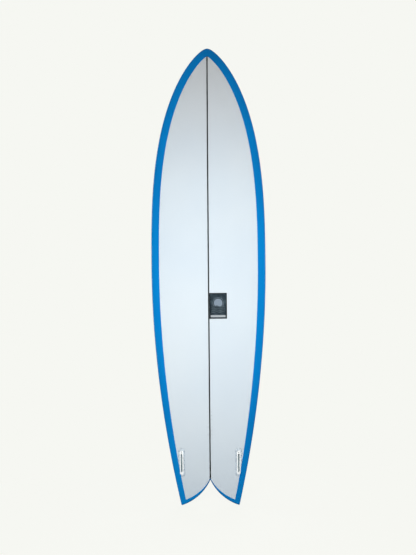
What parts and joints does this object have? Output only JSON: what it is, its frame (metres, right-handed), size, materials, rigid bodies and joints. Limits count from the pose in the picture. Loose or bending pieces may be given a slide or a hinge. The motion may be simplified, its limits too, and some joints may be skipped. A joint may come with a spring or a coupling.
{
  "type": "swallow-tail surfboard",
  "caption": "Mid-length swallow-tail surfboard with a stringered foam blank, clear laminates, pigmented rail wraps, empty single-slot fin boxes and a leash plug.",
  "frame": {"origin": "on the stringer line of the bottom surface at mid-length, where the rocker is measured from", "axes": "+Z along the board towards the nose, +Y from the bottom towards the deck, +X towards the right-hand rail as seen looking at the bottom with the nose up"},
  "size_m": [0.5524, 0.129, 2.235],
  "materials": {
    "foam": "fine closed-cell foam",
    "stringer_wood": "dark stained wood",
    "clear_laminate": "glossy clear resin over fine glass cloth",
    "blue_laminate": "glossy pigmented resin",
    "box_plastic": "white moulded plastic",
    "potting_resin": "translucent resin with chopped glass",
    "stainless": "plain turned",
    "decal_paper": "printed rice paper under glass"
  },
  "bodies": {
    "board": {"foam_blank_left": "foam", "foam_blank_right": "foam", "stringer": "stringer_wood", "bottom_laminate": "clear_laminate", "deck_laminate": "clear_laminate", "rail_wrap_left": "blue_laminate", "rail_wrap_right": "blue_laminate", "fin_box_bed_left": "potting_resin", "fin_box_left": "box_plastic", "fin_box_bed_right": "potting_resin", "fin_box_right": "box_plastic", "leash_plug_bed": "potting_resin", "leash_plug_cup": "box_plastic", "leash_plug_bar": "stainless", "logo_decal": "decal_paper"},
    "fin_screw_left": {"fin_screw_left": "stainless"},
    "fin_screw_right": {"fin_screw_right": "stainless"}
  },
  "joints": [
    {"name": "fin_screw_left_travel", "type": "slide", "parent": "board", "child": "fin_screw_left", "axis": [0.024, 0.6884, -0.725], "range_m": [0, 0.0045]},
    {"name": "fin_screw_right_travel", "type": "slide", "parent": "board", "child": "fin_screw_right", "axis": [-0.024, 0.6884, -0.725], "range_m": [0, 0.0045]}
  ]
}
